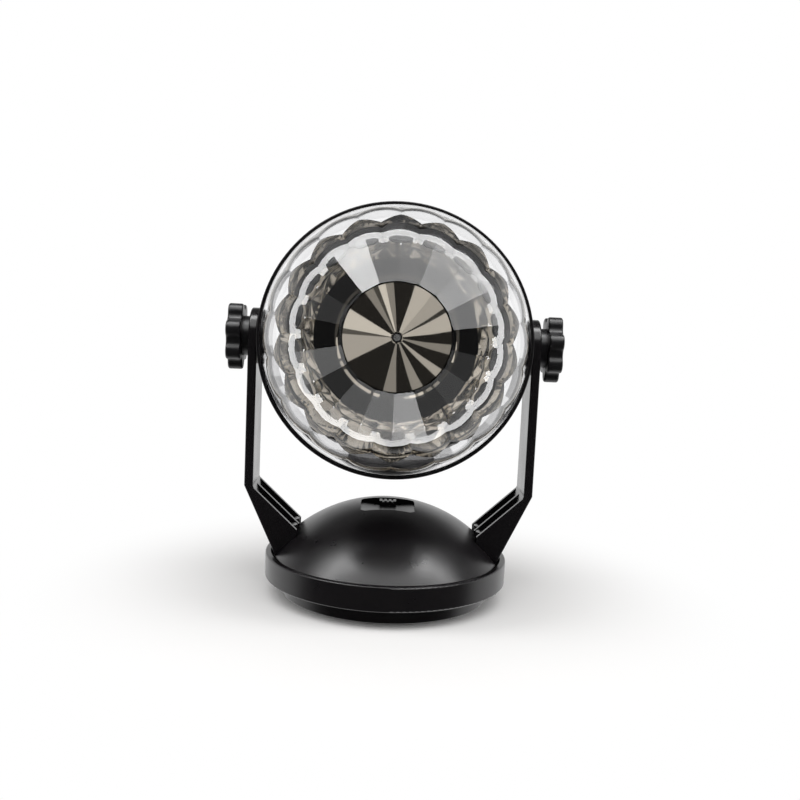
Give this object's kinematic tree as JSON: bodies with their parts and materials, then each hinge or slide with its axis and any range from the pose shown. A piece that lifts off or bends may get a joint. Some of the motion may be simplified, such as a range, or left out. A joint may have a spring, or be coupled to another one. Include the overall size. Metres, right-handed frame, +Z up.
{
  "type": "disco ball light",
  "caption": "Table-top disco light: a faceted clear dome turns in a round black head that tilts in a yoke on a domed round base.",
  "frame": {"origin": "on the table, at the middle of the round base", "axes": "+Z up along the swivel axis, the dome faces -Y, the tilt axis runs along X"},
  "size_m": [0.1112, 0.0991, 0.1329],
  "materials": {
    "black_abs": "satin moulded black ABS",
    "black_knob": "satin moulded black ABS, slightly glossier",
    "clear_crystal": "polished clear acrylic",
    "clear_lens": "polished clear acrylic",
    "mirror_cone": "polished vacuum-metallised plastic",
    "steel": "bright zinc-plated steel",
    "brass": "turned brass",
    "white_acetal": "natural acetal",
    "inner_abs": "moulded black ABS",
    "board_green": "solder-masked board",
    "rubber": "matt black rubber",
    "cell_jacket": "plain wrapped jacket",
    "motor_metal": "bright gearbox and can",
    "led_red": "red lamp package",
    "led_green": "pale lamp package",
    "led_blue": "pale lamp package"
  },
  "bodies": {
    "base": {"base_tub": "black_abs", "bottom_cover": "black_abs", "battery_door": "black_abs", "door_screw": "steel", "battery_tray": "inner_abs", "battery_cells": "cell_jacket", "battery_contacts": "steel", "contact_springs": "steel", "rubber_feet": "rubber", "cover_screws": "steel", "swivel_plate": "inner_abs", "plate_screws": "steel", "slide_ring": "white_acetal"},
    "yoke": {"yoke_dome": "black_abs", "left_arm": "black_abs", "right_arm": "black_abs", "arm_screws": "steel", "retaining_clip": "steel", "switch_body": "inner_abs"},
    "switch": {"switch_slider": "black_abs"},
    "head": {"head_housing": "black_abs", "front_bezel": "black_abs", "rear_cap": "black_abs", "chassis_plate": "inner_abs", "led_board": "board_green", "led_red": "led_red", "led_green": "led_green", "led_blue": "led_blue", "led_lenses": "clear_lens", "cone_reflector": "mirror_cone", "motor": "motor_metal", "motor_screws": "steel", "control_board": "board_green", "board_parts": "inner_abs", "microphone": "motor_metal", "shaft_bush": "brass", "threaded_inserts": "brass", "friction_washers": "white_acetal", "chassis_screws": "steel", "rear_screws": "steel"},
    "ball": {"crystal_dome": "clear_crystal", "drive_shaft": "steel", "dome_gear": "white_acetal", "shaft_clip": "steel"},
    "pinion": {"motor_shaft": "steel", "motor_pinion": "white_acetal"},
    "left_knob": {"left_knob": "black_knob", "left_stud": "steel"},
    "right_knob": {"right_knob": "black_knob", "right_stud": "steel"}
  },
  "joints": [
    {"name": "yoke_swivel", "type": "hinge", "parent": "base", "child": "yoke", "pos_m": [0, 0, 0], "axis": [0, 0, 1], "range_deg": [-165, 165]},
    {"name": "switch_slide", "type": "slide", "parent": "yoke", "child": "switch", "axis": [1, 0, 0], "range_m": [-0.003, 0.003]},
    {"name": "head_tilt", "type": "hinge", "parent": "yoke", "child": "head", "pos_m": [0, 0, 0.0868], "axis": [-1, 0, 0], "range_deg": [-45, 85]},
    {"name": "ball_spin", "type": "hinge", "parent": "head", "child": "ball", "pos_m": [0, 0, 0.0868], "axis": [0, -0.9956, 0.0941], "continuous": true},
    {"name": "pinion_spin", "type": "hinge", "parent": "head", "child": "pinion", "pos_m": [0, -0.00153, 0.07067], "axis": [0, -0.9956, 0.0941], "continuous": true},
    {"name": "left_knob_turn", "type": "hinge", "parent": "head", "child": "left_knob", "pos_m": [-0.05, 0, 0.0868], "axis": [-1, 0, 0], "range_deg": [0, 360]},
    {"name": "right_knob_turn", "type": "hinge", "parent": "head", "child": "right_knob", "pos_m": [0.05, 0, 0.0868], "axis": [1, 0, 0], "range_deg": [0, 360]}
  ],
  "couplings": [
    {"joint": "pinion_spin", "follows": "ball_spin", "ratio": -3.5}
  ]
}
